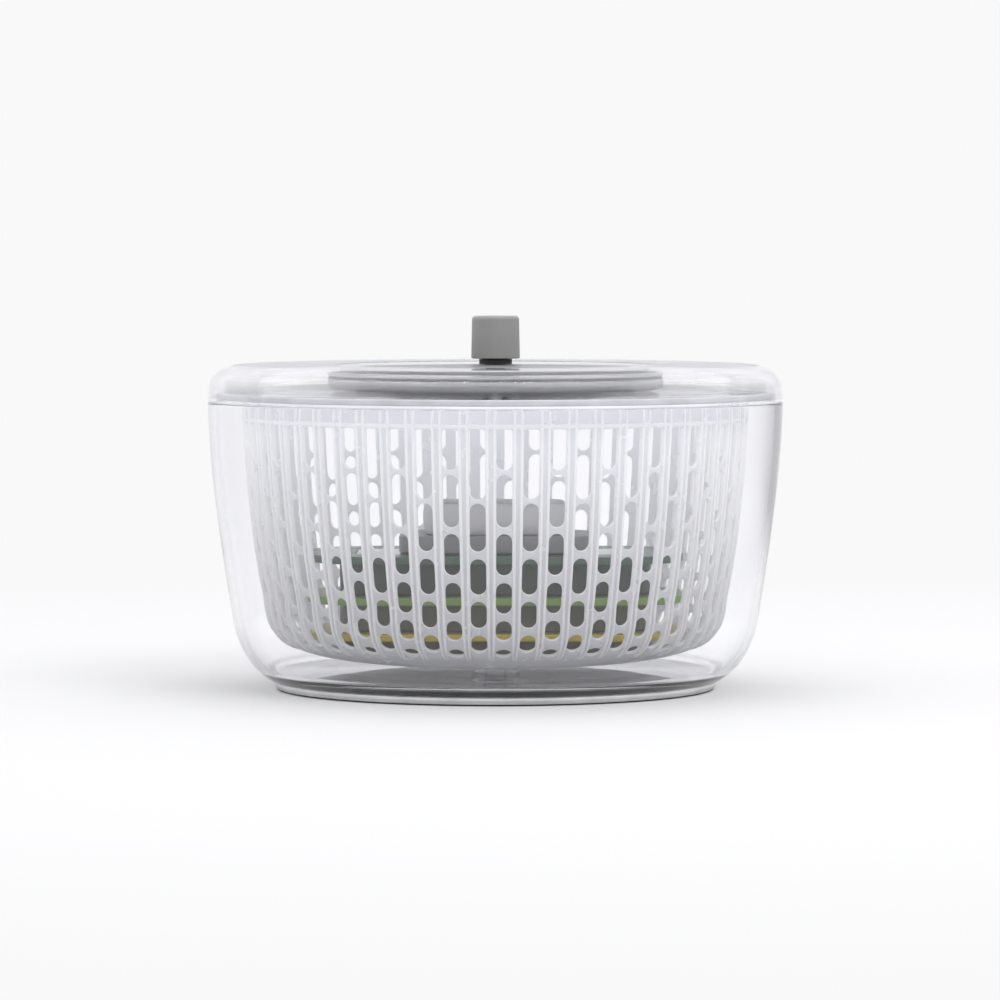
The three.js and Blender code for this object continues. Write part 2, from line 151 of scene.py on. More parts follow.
# ---- Meshes ----
def make_piece(name, vertices, faces, material, body, replaces=(), sharp=32):
    """An object that rides on a body in place of some CAD nodes, from a mesh in millimetres.
    A fourth column of the vertices is the weight of the painted edge highlight that frosted plastic reads."""
    mesh = bpy.data.meshes.new(name)
    vertices = np.asarray(vertices, float)
    mesh.from_pydata((vertices[:, :3] * MM).tolist(), [], faces)
    if vertices.shape[1] > 3:
        mesh.attributes.new("edge", "FLOAT", "POINT").data.foreach_set("value", vertices[:, 3])
    mesh.polygons.foreach_set("use_smooth", [True] * len(mesh.polygons))
    mesh.set_sharp_from_angle(angle=math.radians(sharp))
    mesh.materials.append(material)
    piece = bpy.data.objects.new(name, mesh)
    scene.collection.objects.link(piece)
    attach(piece, body)
    if replaces:
        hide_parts(*replaces)
    return piece


def swept(outline_at, profile, closed=True):
    """Vertices and faces of a profile of (distance, z) points carried round an outline.
    A closed profile gives a ring. An open one is capped flat at both ends."""
    rings = [np.column_stack([outline_at(x), np.full(len(outline_at(x)), z)]) for x, z in profile]
    count = len(rings[0])
    vertices = np.vstack(rings)
    last = len(rings) if closed else len(rings) - 1
    faces = []
    for k in range(last):
        low, high = k * count, ((k + 1) % len(rings)) * count
        for j in range(count):
            n = (j + 1) % count
            faces.append((low + j, low + n, high + n, high + j))
    if not closed:
        faces.append(tuple(range(count))[::-1])
        faces.append(tuple(range((len(rings) - 1) * count, len(rings) * count)))
    return vertices, faces


def merged(*parts):
    """Several (vertices, faces) as one."""
    vertices, faces, start = [], [], 0
    for part_vertices, part_faces in parts:
        vertices.append(np.asarray(part_vertices, float))
        faces += [tuple(i + start for i in face) for face in part_faces]
        start += len(part_vertices)
    return np.vstack(vertices), faces


def second_material(piece, material, where):
    """Gives another material to the faces whose centre passes a test."""
    piece.data.materials.append(material)
    index = len(piece.data.materials) - 1
    for polygon in piece.data.polygons:
        if where(polygon.center):
            polygon.material_index = index


def turned_piece(name, profile, material, body, replaces, closed=True, count=ROUND,
                 centre=(0, 0)):
    """A piece turned about an upright axis from a profile of (radius, z) points."""
    vertices, faces = swept(lambda r: circle(r, count) + np.array(centre), profile, closed)
    return make_piece(name, vertices, faces, material, body, replaces)


# ---- Materials ----
def add_node(tree, kind, **values):
    """A shader node with its settings, and its inputs by name with _ for a space."""
    node = tree.nodes.new(kind)
    for key, value in values.items():
        if hasattr(node, key):
            setattr(node, key, value)
        else:
            node.inputs[key.replace("_", " ")].default_value = value
    return node


def add_ramp(tree, fac, stops):
    """The colour that a factor has on a ramp through (position, colour) stops."""
    node = add_node(tree, "ShaderNodeValToRGB")
    elements = node.color_ramp.elements
    elements[0].position, elements[1].position = stops[0][0], stops[-1][0]
    for position, _ in stops[1:-1]:
        elements.new(position)
    for element, (_, color) in zip(elements, stops):
        element.color = (*color, 1)
    tree.links.new(fac, node.inputs["Fac"])
    return node.outputs["Color"]


NOISE_SPAN = (0.3, 0.7)  # the part of a noise's range that it really fills


class Nodes:
    """A material with a Principled shader, and short ways to add noise to it."""

    def __init__(self, name, color, roughness, metallic=0.0, ior=1.5, transmission=0.0, coat=0.0):
        self.material = bpy.data.materials.new(name)
        self.material.use_nodes = True
        self.tree = self.material.node_tree
        self.shader = self.tree.nodes["Principled BSDF"]
        self.output = self.tree.nodes["Material Output"]
        finish = {"Base Color": (*color, 1), "Roughness": roughness, "Metallic": metallic, "IOR": ior,
                  "Transmission Weight": transmission, "Coat Weight": coat}
        for socket, value in finish.items():
            self.shader.inputs[socket].default_value = value
        self.place = self.add("ShaderNodeTexCoord").outputs["Object"]

    def add(self, kind, **values):
        return add_node(self.tree, kind, **values)

    def link(self, start, end):
        self.tree.links.new(start, end)

    def noise(self, scale, detail=3.0, stretch=None):
        """Noise in the object's own space, with about scale lumps to a metre."""
        texture = self.add("ShaderNodeTexNoise", Scale=scale, Detail=detail)
        place = self.place
        if stretch:
            mapping = self.add("ShaderNodeMapping")
            mapping.inputs["Scale"].default_value = stretch
            self.link(place, mapping.inputs["Vector"])
            place = mapping.outputs["Vector"]
        self.link(place, texture.inputs["Vector"])
        return texture.outputs["Fac"]

    def vary(self, fac, socket, low, high):
        """A socket that runs from low to high with a noise."""
        span = self.add("ShaderNodeMapRange", From_Min=NOISE_SPAN[0], From_Max=NOISE_SPAN[1], To_Min=low,
                        To_Max=high)
        self.link(fac, span.inputs["Value"])
        self.link(span.outputs["Result"], self.shader.inputs[socket])

    def mottle(self, fac, first, second):
        """A base colour that drifts between two close colours."""
        color = add_ramp(self.tree, fac, [(NOISE_SPAN[0], first), (NOISE_SPAN[1], second)])
        self.link(color, self.shader.inputs["Base Color"])

    def bump(self, fac, strength, distance):
        bump = self.add("ShaderNodeBump", Strength=strength, Distance=distance)
        self.link(fac, bump.inputs["Height"])
        self.link(bump.outputs["Normal"], self.shader.inputs["Normal"])

    def paint_shade_down(self, color, low, high, share):
        """Painted shade: a base colour that keeps only a share of itself at a low height, and all of it at
        a high one.
        """
        place = self.add("ShaderNodeSeparateXYZ")
        self.link(self.place, place.inputs["Vector"])
        span = self.add("ShaderNodeMapRange", From_Min=low, From_Max=high, To_Min=share)
        self.link(place.outputs["Z"], span.inputs["Value"])
        scaled = self.add("ShaderNodeVectorMath", operation="SCALE")
        self.link(color, scaled.inputs[0])
        self.link(span.outputs["Result"], scaled.inputs["Scale"])
        self.link(scaled.outputs["Vector"], self.shader.inputs["Base Color"])


def shade(color, factor):
    """A colour made darker or lighter."""
    return tuple(min(1.0, c * factor) for c in color)


def moulded_plastic(name, color, roughness=0.45, grain=1400, strength=0.12, coat=0.0, passes=0.0):
    """Solid plastic with a fine grain. A share of the diffuse light may pass through it."""
    made = Nodes(name, color, roughness, ior=1.46, coat=coat)
    made.mottle(made.noise(45, 4), shade(color, 0.94), shade(color, 1.06))
    made.vary(made.noise(160, 5), "Roughness", roughness - 0.06, roughness + 0.08)
    made.bump(made.noise(grain, 2), strength, 0.0002)
    if passes:
        lets_light_by(made, made.shader.outputs[0], passes, ("Is Shadow Ray", "Is Diffuse Ray"))
    return made.material


VEIL_SPAN = (0.6, 0.95)  # how far from square on the veil starts and ends its change


def lets_light_by(made, surface, share, rays, veil=(0.0, 0.0)):
    """Lets a share of some kinds of ray pass straight through, so that light reaches what is inside.
    The veil is the share that passes of all the other rays, where they meet the surface square on and
    where they graze it."""
    path = made.add("ShaderNodeLightPath")
    clear = made.add("ShaderNodeBsdfTransparent", Color=(1, 1, 1, 1))
    either = made.add("ShaderNodeMath", operation="MAXIMUM")
    made.link(path.outputs[rays[0]], either.inputs[0])
    made.link(path.outputs[rays[-1]], either.inputs[1])
    amount = made.add("ShaderNodeMath", operation="MULTIPLY")
    amount.inputs[1].default_value = share
    made.link(either.outputs[0], amount.inputs[0])
    graze = made.add("ShaderNodeLayerWeight", Blend=0.5)
    thin = made.add("ShaderNodeMapRange", From_Min=VEIL_SPAN[0], From_Max=VEIL_SPAN[1], To_Min=veil[0],
                    To_Max=veil[1])
    made.link(graze.outputs["Facing"], thin.inputs["Value"])
    least = made.add("ShaderNodeMath", operation="MAXIMUM")
    made.link(amount.outputs[0], least.inputs[0])
    made.link(thin.outputs["Result"], least.inputs[1])
    mix = made.add("ShaderNodeMixShader")
    made.link(least.outputs[0], mix.inputs[0])
    made.link(surface, mix.inputs[1])
    made.link(clear.outputs[0], mix.inputs[2])
    made.link(mix.outputs[0], made.output.inputs["Surface"])


def clear_plastic(name, density=9.0, ior=1.49, veil=(0.0, 0.0), gloss=(1, 1, 1)):
    """Clear plastic that darkens with depth, and whose reflections are tinted by its gloss."""
    roughness = 0.015
    made = Nodes(name, (0.99, 0.99, 1.0), roughness, ior=ior, transmission=1.0)
    made.shader.inputs["Specular Tint"].default_value = (*gloss, 1)
    made.vary(made.noise(60, 3), "Roughness", roughness * 0.4, roughness * 2.0)
    made.bump(made.noise(28, 2), 0.05, 0.0008)
    lets_light_by(made, made.shader.outputs[0], 1.0, ("Is Shadow Ray", "Is Diffuse Ray"), veil)
    volume = made.add("ShaderNodeVolumeAbsorption", Color=(0.80, 0.81, 0.84, 1), Density=density)
    made.link(volume.outputs["Volume"], made.output.inputs["Volume"])
    return made.material


FROST_FACE = (0.96, 0.96, 0.99)
FROST_PAINTED_HIGHLIGHT = (1.0, 1.0, 1.0)
FROST_LOW, FROST_HIGH = 0.03, 0.105  # heights between which the painted shade on the milky plastic fades out, darkest at the low one
# The share of the colour kept at the low height; the rest is painted shade.
FROST_PAINTED_SHADE_SHARE = 0.76
MILKINESS = 0.45  # the share of light that spreads through from behind


def frosted_plastic(name):
    """Milky plastic with a painted white highlight along its edges, ridges and bead, which the mesh marks
    with an attribute, and painted shade towards the bottom.
    """
    made = Nodes(name, FROST_FACE, 0.22, ior=1.42, transmission=0.35, coat=0.2)
    # The edge mark paints a white highlight into the base colour.
    mark = made.add("ShaderNodeAttribute", attribute_name="edge").outputs["Fac"]
    color = add_ramp(made.tree, mark, [(0.1, FROST_FACE), (0.8, FROST_PAINTED_HIGHLIGHT)])
    # Painted highlight: the marked edges also let less light through, so they read whiter.
    milky = made.add("ShaderNodeMapRange", To_Min=0.4, To_Max=0.05)
    made.link(mark, milky.inputs["Value"])
    made.link(milky.outputs["Result"], made.shader.inputs["Transmission Weight"])
    made.vary(made.noise(90, 4), "Roughness", 0.16, 0.3)
    made.bump(made.noise(400, 2), 0.03, 0.0002)
    # Painted shade: the colour darkens towards the bottom.
    made.paint_shade_down(color, FROST_LOW, FROST_HIGH, FROST_PAINTED_SHADE_SHARE)
    backlit = made.add("ShaderNodeBsdfTranslucent")
    made.link(made.shader.inputs["Base Color"].links[0].from_socket, backlit.inputs["Color"])
    mix = made.add("ShaderNodeMixShader", Fac=MILKINESS)
    made.link(made.shader.outputs[0], mix.inputs[1])
    made.link(backlit.outputs[0], mix.inputs[2])
    lets_light_by(made, mix.outputs[0], 0.5, ("Is Shadow Ray",))
    return made.material


def brushed_steel(name, color=(0.62, 0.62, 0.63)):
    """Steel with its grain along X."""
    made = Nodes(name, color, 0.3, metallic=1.0)
    grain = made.noise(900, 3, stretch=(0.06, 1, 1))
    made.vary(grain, "Roughness", 0.22, 0.42)
    made.bump(grain, 0.15, 0.0001)
    return made.material


def rubber(name, color):
    """Dull, slightly uneven rubber."""
    made = Nodes(name, color, 0.7, ior=1.45)
    made.mottle(made.noise(70, 5), shade(color, 0.88), shade(color, 1.12))
    made.vary(made.noise(220, 4), "Roughness", 0.6, 0.8)
    made.bump(made.noise(2600, 2), 0.25, 0.0002)
    return made.material


# Clear and milky parts
CLEAR = clear_plastic("clear_plastic")
FROSTED = frosted_plastic("frosted_plastic")
LID_CLEAR = clear_plastic("lid_clear", density=2.0, ior=1.2, veil=(0.78, 0.62), gloss=(0.42, 0.42, 0.435))
LID_TOP_CLEAR = clear_plastic("lid_top_clear", density=2.0, ior=1.3, veil=(0.5, 0.35),
                              gloss=(0.40, 0.40, 0.415))
PLATE_CLEAR = clear_plastic("plate_clear", density=5.0, ior=1.2, veil=(0.6, 0.5))
FLANGE_CLEAR = clear_plastic("flange_clear", density=0.8, ior=1.15, veil=(0.85, 0.5))
MILKY = moulded_plastic("milky_plastic", (0.92, 0.91, 1.0), 0.3, passes=0.9)
SILICONE = rubber("seal_silicone", (0.50, 0.50, 0.53))
# Grey and white parts
BASE_RUBBER = rubber("base_rubber", (0.50, 0.50, 0.50))
BASE_TOP_RUBBER = rubber("base_top_rubber", (0.12, 0.12, 0.124))
KNOB_GREY = moulded_plastic("knob_grey", (0.25, 0.25, 0.242), 0.5, 2200, 0.18)
DISC_GREY = moulded_plastic("disc_grey", (0.17, 0.17, 0.176), 0.42)
HOUSING_GREY = moulded_plastic("housing_grey", (0.60, 0.60, 0.61), 0.4)
# Painted light: a near-white copy of the housing's plastic for its underside, which is in shade.
HOUSING_UNDER_PAINTED_LIGHT = moulded_plastic("housing_under_painted_light", (0.97, 0.97, 0.99), 0.4)
# Painted shade for the groove round the housing.
GROOVE_PAINTED_SHADE = moulded_plastic("groove_painted_shade", (0.07, 0.07, 0.07), 0.5)
# Near-black plastic for the knob's post, also used as painted contact shadow in the base's recess.
DARK_PLASTIC_AND_PAINTED_SHADE = moulded_plastic("dark_plastic", (0.03, 0.03, 0.03), 0.55)
WHITE = moulded_plastic("white_plastic", (0.72, 0.72, 0.70), 0.35)
PUSHER_GREY = moulded_plastic("pusher_grey", (0.55, 0.55, 0.56), 0.42)
# Painted shade: the pusher's flange, darker than its grip because it sits under it.
PUSHER_FLANGE_PAINTED_SHADE = moulded_plastic("pusher_base_grey", (0.22, 0.22, 0.225), 0.42)
# The attachments, with a rim colour and a duller, darker body colour that is painted shade
GREEN = moulded_plastic("green_plastic", (0.05, 0.10, 0.065), 0.38, coat=0.1)
GREEN_BODY_PAINTED_SHADE = moulded_plastic("green_body_painted_shade", (0.078, 0.088, 0.075), 0.45)
OLIVE = moulded_plastic("olive_plastic", (0.15, 0.25, 0.05), 0.38, coat=0.1)
OLIVE_BODY_PAINTED_SHADE = moulded_plastic("olive_body_painted_shade", (0.115, 0.118, 0.08), 0.45)
MUSTARD = moulded_plastic("mustard_plastic", (0.43, 0.33, 0.03), 0.38, coat=0.1)
MUSTARD_BODY_PAINTED_SHADE = moulded_plastic("mustard_body_painted_shade", (0.18, 0.155, 0.085), 0.45)
STEEL = brushed_steel("blade_steel")
SCREW_STEEL = brushed_steel("screw_steel", (0.95, 0.95, 0.97))


# ---- Bowl ----
BOWL_WALL = 3.0
BOWL_FLOOR = 3.8
BOWL_BEND = (109.7, 28.7)  # where the rounded bottom edge runs into the leaning wall
LIP_H = 1.2
RECESS_W = 8.0  # width and height of the recess under the foot's outer edge, whose faces are painted black as contact shadow
RECESS_H = 0.6


def make_bowl():
    """The bowl's wall, from its foot over the rim and down to the edge of its floor, closed flat."""
    radius, bottom, rim = size_of("bowl_shell")
    foot = size_of("non_slip_base")[0]
    lower = bezier([(foot, bottom), (105.0, 9.9), (108.7, 22.7), BOWL_BEND], 22)
    upper = bezier([BOWL_BEND, (112.7, 47.9), (119.3, 85.3), (radius, rim - LIP_H)], 22)
    outside = np.vstack([lower, upper[1:]])
    floor = bottom + BOWL_FLOOR
    inside = [p for p in inset(outside, BOWL_WALL) if floor + 2.2 < p[1] < rim - LIP_H]
    inner_radius = radius - BOWL_WALL
    lip = rounded([outside[-1], (radius, rim, 0.4), (inner_radius, rim, 0.5), (inner_radius, rim - LIP_H)],
                  closed=False)
    corner = bezier([inside[0], inside[0] - (0.9, 1.4), (foot - 0.5, floor), (foot - 3, floor)], 6)
    profile = np.vstack([[(foot - 2, bottom)], outside, lip[1:], inside[::-1], corner[1:]])
    turned_piece("bowl", profile, CLEAR, "bowl", ["bowl_shell"], closed=False,
                 count=ROUND_FINE)


def make_base():
    """The rubber foot: a ring on the floor, a recess outside it, and a rounded outer edge. Its faces up to
    the recess's top are painted black as contact shadow.
    """
    radius, _, top = size_of("non_slip_base")
    recess = radius - RECESS_W
    profile = rounded([
        (60, 1.2), (78, 1.2, 0.4), (78.4, 0, 0.3), (recess, 0, 0.2), (recess, RECESS_H, 0.2),
        (radius - 2.0, RECESS_H, 0.4), (radius, top, 0.8), (66, top, 0.3), (64, top - 0.8, 0.3),
        (60, top - 0.8),
    ], closed=False)
    base = turned_piece("base_ring", profile, BASE_RUBBER, "bowl", ["non_slip_base"],
                        closed=False, count=ROUND_FINE)
    # Painted shadow: every face below the recess's top is near black.
    second_material(base, DARK_PLASTIC_AND_PAINTED_SHADE, lambda centre: centre.z < (RECESS_H + 0.05) * MM)
    second_material(base, BASE_TOP_RUBBER, lambda centre: centre.z > (top - 0.05) * MM)


# ---- Basket ----
COLUMNS = 60
FIRST_COLUMN = math.radians(-90 + 2.05)  # the angle of the column nearest the front
# Height and thickness of each bar that parts two slots, for the two kinds of column
BARS = (
    [(18.2, 3.0), (24.75, 3.7), (36.35, 3.0), (51.8, 3.0), (71.35, 2.6), (94.8, 1.85)],
    [(20.2, 3.0), (30.4, 3.0), (44.05, 2.8), (61.45, 3.0), (83.15, 1.6)],
)
SLOT_TOP = 111.9
SLOT_HALF = 3.2
WEB = 1.5  # thickness of the wall between its ridges
RIDGE_OFFSET = 3.95  # from the middle of a slot to the middle of the ridge beside it
RIDGE_HALF = 0.7
RIDGE_HEIGHT = 0.85
RIDGE_START_R = 84.0  # the ridges rise out of the wall from this radius on
BEAD_Z = 113.2
BEAD_HALF = 1.0
BEAD_HEIGHT = 0.8
EDGE_ROUND = 0.35
BUSH_HOLE_R = 7.6
PATTERN_R = 100.0  # the radius at which a column's across places are true lengths
# Weights of the painted edge highlight, from 0 for plain wall to 1 for a painted white edge
SLOT_EDGE_PAINTED_HIGHLIGHT = 0.7
RIM_PAINTED_HIGHLIGHT = 0.8


class WallMap:
    """Takes (angle across a column, length up the wall, height off the wall) to a place on the basket."""

    def __init__(self):
        floor_z, rim_r, rim_z = size_of("basket")[1], size_of("basket")[0], size_of("basket")[2]
        skin = rim_r - RIDGE_HEIGHT
        corner = bezier([(62, floor_z), (93.3, 15.8), (94.9, 25), (96.4, 40.5)], 60)
        side = bezier([(96.4, 40.5), (98.5, 47.8), (102.6, 73.6), (skin, 114.3)], 60)
        top = np.array([(skin, rim_z)])
        self.points = np.vstack([corner, side[1:], top])
        steps = np.linalg.norm(np.diff(self.points, axis=0), axis=1)
        self.lengths = np.concatenate([[0], np.cumsum(steps)])
        tangent = np.gradient(self.points, self.lengths, axis=0)
        tangent /= np.linalg.norm(tangent, axis=1)[:, None]
        self.normals = np.stack([tangent[:, 1], -tangent[:, 0]], axis=1)
        self.end = self.lengths[-1]

    def length_at(self, z):
        return float(np.interp(z, self.points[:, 1], self.lengths))

    def radius_at(self, length):
        return np.interp(length, self.lengths, self.points[:, 0])

    def place(self, angle, length, height):
        r = np.interp(length, self.lengths, self.points[:, 0])
        z = np.interp(length, self.lengths, self.points[:, 1])
        nr = np.interp(length, self.lengths, self.normals[:, 0])
        nz = np.interp(length, self.lengths, self.normals[:, 1])
        out = r + height * nr
        return np.stack([out * np.cos(angle), out * np.sin(angle), z + height * nz], axis=-1)


def smoothstep(x):
    """Eases from 0 to 1 as x goes from 0 to 1."""
    x = np.clip(x, 0, 1)
    return x * x * (3 - 2 * x)


def wall_height(wall, across, length):
    """How far the outside stands off the wall: a ridge on each side of a slot, a bead under the rim."""
    radius = wall.radius_at(length)
    arc = np.abs(across) * radius / PATTERN_R
    shape = np.sqrt(np.clip(1 - ((arc - RIDGE_OFFSET) / RIDGE_HALF) ** 2, 0, 1))
    ridge = RIDGE_HEIGHT * shape * smoothstep((radius - RIDGE_START_R) / 4)
    bead = BEAD_HEIGHT * np.sqrt(np.clip(1 - ((length - wall.length_at(BEAD_Z)) / BEAD_HALF) ** 2, 0, 1))
    return np.maximum(ridge, bead)


def slot_outline(wall, low, high, grow, steps=7):
    """A slot with round ends, as (across, length) points, grown by a distance. It runs anticlockwise.
    The topmost slots end almost square under the bead."""
    square = high > wall.length_at(SLOT_TOP) - 0.1
    low, high = low - grow, high + grow
    half = SLOT_HALF + grow
    below = min(half, (high - low) / 2)
    above = 1.1 + grow if square else below
    angles = np.linspace(0, math.pi, 2 * steps + 1)
    reach = np.sign(np.cos(angles)) * np.abs(np.cos(angles)) ** (0.35 if square else 1)
    top = [(half * x, high - above + above * math.sin(a)) for x, a in zip(reach, angles)]
    bottom = [(-half * math.cos(a), low + below - below * math.sin(a)) for a in angles]
    straight = (high - low) - above - below
    count = max(1, round(straight / 4))
    rows = [low + below + straight * k / count for k in range(1, count)]
    points = top + [(-half, y) for y in rows[::-1]] + bottom + [(half, y) for y in rows]
    points = np.array(points)
    if straight < 1e-6:
        points = np.delete(points, [2 * steps + 1, 4 * steps + 1], axis=0)
    points[:, 0] *= PATTERN_R / wall.radius_at(points[:, 1])
    return points


def slots_of_column(wall, kind):
    """The (low, high) lengths of one column's slots."""
    bars = BARS[kind]
    lows = [wall.length_at(z + thickness / 2) for z, thickness in bars]
    highs = [wall.length_at(z - thickness / 2) for z, thickness in bars[1:]] + [wall.length_at(SLOT_TOP)]
    return list(zip(lows, highs))


def column_surface(wall, slots, grow):
    """One column of the wall, flat, as (points, triangles), with the grown slots cut out."""
    half = math.radians(180 / COLUMNS) * PATTERN_R
    points, edges = [], []

    def add_line(line, closed=False):
        start = len(points)
        points.extend(Vector(p) for p in line)
        count = len(line)
        edges.extend((start + i, start + (i + 1) % count) for i in range(count if closed else count - 1))

    rows = np.linspace(0, wall.end, 46)
    bead = wall.length_at(BEAD_Z)
    rows = np.unique(np.concatenate([rows, bead + BEAD_HALF * np.cos(np.linspace(0, math.pi, 9))]))
    for side in (-half, half):
        add_line([(side, y) for y in rows])
    add_line([(-half, 0), (half, 0)])
    add_line([(-half, wall.end), (half, wall.end)])
    for y in rows:
        if y > slots[-1][1] + grow + 0.2 and y < wall.end:
            add_line([(-half, y), (half, y)])
    for share in (-1, -0.7, -0.3, 0.3, 0.7, 1):
        offset = RIDGE_OFFSET + share * RIDGE_HALF
        for sign in (-1, 1):
            line = [(sign * offset * PATTERN_R / wall.radius_at(y), y) for y in rows
                    if wall.radius_at(y) * half / PATTERN_R > offset + 0.1
                    and wall.radius_at(y) > RIDGE_START_R - 2]
            add_line(line)
    outlines = [slot_outline(wall, low, high, grow) for low, high in slots]
    for outline in outlines:
        add_line([tuple(p) for p in outline], closed=True)
    made = delaunay_2d_cdt(points, edges, [], 0, 1e-4)
    flat = np.array([tuple(p) for p in made[0]])
    triangles = []
    for face in made[2]:
        centre = flat[list(face)].mean(axis=0)
        inside = any(in_outline(centre, outline) for outline in outlines)
        if not inside and abs(centre[0]) < half and 0 < centre[1] < wall.end:
            triangles.append(tuple(face))
    return flat, triangles


def in_outline(point, outline):
    """Whether a point is inside a closed outline."""
    x, y = point
    a, b = outline, np.roll(outline, -1, axis=0)
    crosses = (a[:, 1] > y) != (b[:, 1] > y)
    with np.errstate(divide="ignore", invalid="ignore"):
        at = a[:, 0] + (y - a[:, 1]) * (b[:, 0] - a[:, 0]) / (b[:, 1] - a[:, 1])
    return bool(np.count_nonzero(crosses & (x < at)) % 2)


def strip(rings, flip=False):
    """Quads between closed rings of the same count of points."""
    count = len(rings[0])
    faces = []
    for k in range(len(rings) - 1):
        for j in range(count):
            n = (j + 1) % count
            face = (k * count + j, k * count + n, (k + 1) * count + n, (k + 1) * count + j)
            faces.append(face[::-1] if flip else face)
    return np.vstack(rings), faces


def slot_edge(wall, low, high):
    """The side of one slot through the wall, rounded at both skins, and all of it given the painted white
    highlight.
    """
    part = EDGE_ROUND * 0.3
    rings = []
    for grow, height in ((EDGE_ROUND, None), (part, -part), (0, -EDGE_ROUND),
                         (0, EDGE_ROUND - WEB), (part, part - WEB), (EDGE_ROUND, -WEB)):
        flat = slot_outline(wall, low, high, grow)
        level = np.full(len(flat), height) if height is not None else wall_height(wall, *flat.T)
        rings.append(np.column_stack([flat, level, np.full(len(flat), SLOT_EDGE_PAINTED_HIGHLIGHT)]))
    return strip(rings)


def column_mesh(wall, kind):
    """A column of the basket's wall, as faces and (across, length, height, painted highlight weight)
    vertices.
    """
    slots = slots_of_column(wall, kind)
    flat, faces = column_surface(wall, slots, EDGE_ROUND)
    heights = wall_height(wall, *flat.T)
    # The ridges and the bead get the painted highlight by their height.
    outer = np.column_stack([flat, heights, np.clip(heights / RIDGE_HEIGHT, 0, 1)])
    inner = np.column_stack([flat, np.full(len(flat), -WEB), np.zeros(len(flat))])
    parts = [(outer, faces), (inner, [face[::-1] for face in faces])]
    return merged(*parts, *(slot_edge(wall, low, high) for low, high in slots))


def weld(vertices, faces, tolerance=1e-3):
    """Joins vertices that lie on each other, and drops faces that vanish."""
    keys = np.round(np.asarray(vertices)[:, :3] / tolerance).astype(np.int64)
    _, first, inverse = np.unique(keys, axis=0, return_index=True, return_inverse=True)
    inverse = inverse.reshape(-1)
    joined = []
    for face in faces:
        corners = [int(inverse[i]) for i in face]
        corners = [c for i, c in enumerate(corners) if c != corners[i - 1]]
        if len(corners) >= 3:
            joined.append(tuple(corners))
    return np.asarray(vertices)[first], joined


def make_basket():
    """The basket in one mesh: its columns welded side by side, the rim and the floor."""
    wall = WallMap()
    kinds = [column_mesh(wall, 0), column_mesh(wall, 1)]
    parts = []
    for i in range(COLUMNS):
        flat, faces = kinds[i % 2]
        angle = FIRST_COLUMN + (flat[:, 0] / PATTERN_R) + i * 2 * math.pi / COLUMNS
        parts.append((np.column_stack([wall.place(angle, flat[:, 1], flat[:, 2]), flat[:, 3]]), faces))
    parts.append(basket_rim(wall))
    parts.append(basket_floor(wall))
    vertices, faces = weld(*merged(*parts))
    make_piece("basket_body", vertices, faces, FROSTED, "basket", ["basket"], sharp=45)


def with_painted_highlight(part, glow):
    """A (vertices, faces) pair with the same weight of painted highlight at every vertex."""
    vertices, faces = part
    return np.column_stack([vertices, np.full(len(vertices), glow)]), faces


def edge_points(wall, length):
    """The across places of the vertices along the wall's top or bottom edge."""
    flat, _ = column_surface(wall, slots_of_column(wall, 0), EDGE_ROUND)
    return np.unique(np.round(flat[np.abs(flat[:, 1] - length) < 1e-3][:, 0], 4))


def edge_rings(wall, length):
    """The wall's top or bottom edge: the angles of its vertices, and their rings on the two skins."""
    across = edge_points(wall, length)[:-1]
    turns = FIRST_COLUMN + np.arange(COLUMNS)[:, None] * 2 * math.pi / COLUMNS
    angles = (turns + across / PATTERN_R).ravel()
    lengths = np.full(len(angles), length)
    heights = np.tile(wall_height(wall, across, np.full(len(across), length)), COLUMNS)
    outer = wall.place(angles, lengths, heights)
    inner = wall.place(angles, lengths, np.full(len(angles), -WEB))
    return angles, outer, inner


def basket_rim(wall):
    """The top edge, between the wall's two skins, given the painted white highlight."""
    _, outer, inner = edge_rings(wall, wall.end)
    return with_painted_highlight(strip([outer, inner]), RIM_PAINTED_HIGHLIGHT)


def basket_floor(wall):
    """The floor pan, between the wall's bottom edge and the hole for the bush."""
    angles, outer, inner = edge_rings(wall, 0)
    low, high = outer[0][2], inner[0][2]
    bevel = 0.3
    section = [
        (40, low), (20, low), (BUSH_HOLE_R + 1.6, low), (BUSH_HOLE_R, low + bevel),
        (BUSH_HOLE_R, high - bevel), (BUSH_HOLE_R + 1.6, high), (20, high), (40, high),
    ]
    x, y = np.cos(angles), np.sin(angles)
    rings = [np.column_stack([r * x, r * y, np.full(len(angles), z)]) for r, z in section]
    return with_painted_highlight(strip([outer, *rings, inner], flip=True), 0)


# ---- Cutting attachments ----
# Half length, half width and corner radius of the outlines
FRAME_OUTLINE = (78, 42, 30)
FLANGE_OUTLINE = (40, 28, 12)
GRIP_OUTLINE = (30.3, 20, 9)
RIM_T = 3.2
BODY_INSET, BODY_INNER = 13.5, 16.5  # the two sides of the body's wall, measured in from the rim's edge
LEDGE_INSET, WINDOW_INSET = 20, 23  # where the recess for the insert starts, and where its ledge ends
LEDGE_DEPTH = 1.4


